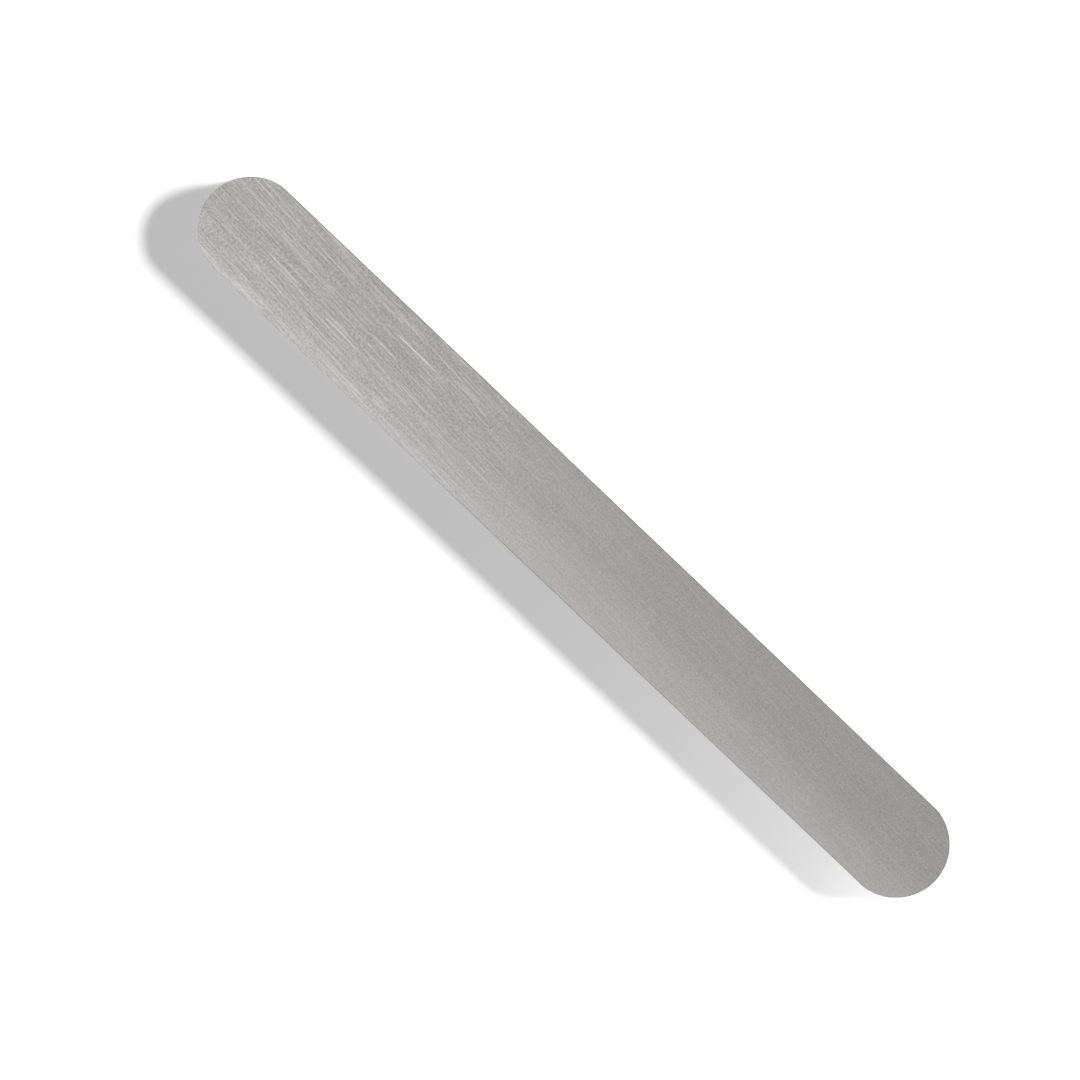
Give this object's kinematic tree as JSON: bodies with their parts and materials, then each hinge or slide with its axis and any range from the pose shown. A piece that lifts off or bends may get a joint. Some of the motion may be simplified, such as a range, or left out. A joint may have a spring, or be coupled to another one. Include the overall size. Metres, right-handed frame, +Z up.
{
  "type": "steel ruler",
  "caption": "Flat brushed-steel rule with full-round ends and a plain upper face; millimetre and inch scales are etched into its lower face and filled with black enamel.",
  "frame": {"origin": "middle of the lower, graduated face, which is the face the rule lies on", "axes": "+X along the length, from the scales' zero towards their high end; +Y across the width, towards the inch scale's edge; +Z up, out of the plain face"},
  "size_m": [0.178, 0.019, 0.0008],
  "materials": {
    "brushed_steel": "satin",
    "black_enamel": "matte"
  },
  "bodies": {
    "root": {"blade": "brushed_steel", "millimetre_lines": "black_enamel", "centimetre_numerals": "black_enamel", "inch_lines": "black_enamel", "inch_numerals": "black_enamel"}
  },
  "joints": []
}
